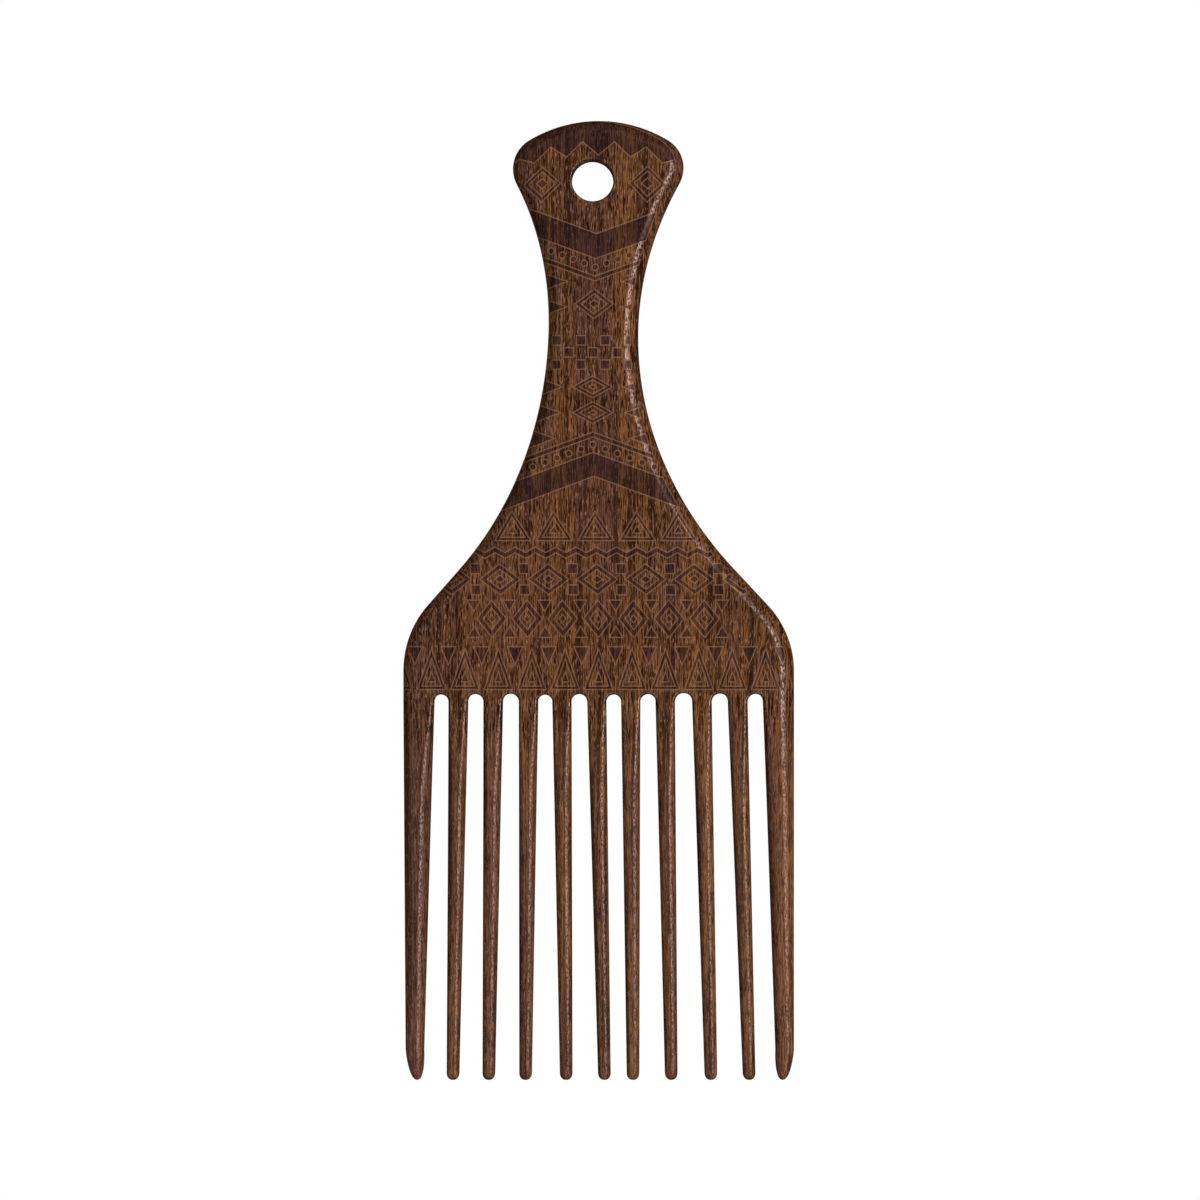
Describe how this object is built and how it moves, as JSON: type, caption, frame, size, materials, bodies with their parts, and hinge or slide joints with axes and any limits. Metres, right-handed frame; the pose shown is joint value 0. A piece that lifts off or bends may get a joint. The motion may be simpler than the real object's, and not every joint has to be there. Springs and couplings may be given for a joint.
{
  "type": "afro pick",
  "caption": "One-piece wooden hair pick: flared crown with a hanging hole, waisted grip, broad shoulders and long tapered teeth.",
  "frame": {"origin": "middle of the pick's length and width, on its back face, which rests on the surface", "axes": "+Z out of the front face, +Y from the teeth towards the crown, +X to the right seen from the front"},
  "size_m": [0.0774, 0.19, 0.008],
  "materials": {
    "handle_wood": "dark reddish brown hardwood, oiled to a satin sheen, grain along the pick",
    "head_wood": "the same board as the handle, with a darker engraved band above the slots",
    "tooth_wood": "the same board, sanded round and left plain"
  },
  "bodies": {
    "root": {"handle": "handle_wood", "head": "head_wood", "guard_tooth_left": "tooth_wood", "tooth_1": "tooth_wood", "tooth_2": "tooth_wood", "tooth_3": "tooth_wood", "tooth_4": "tooth_wood", "tooth_5": "tooth_wood", "tooth_6": "tooth_wood", "tooth_7": "tooth_wood", "tooth_8": "tooth_wood", "tooth_9": "tooth_wood", "guard_tooth_right": "tooth_wood"}
  },
  "joints": []
}
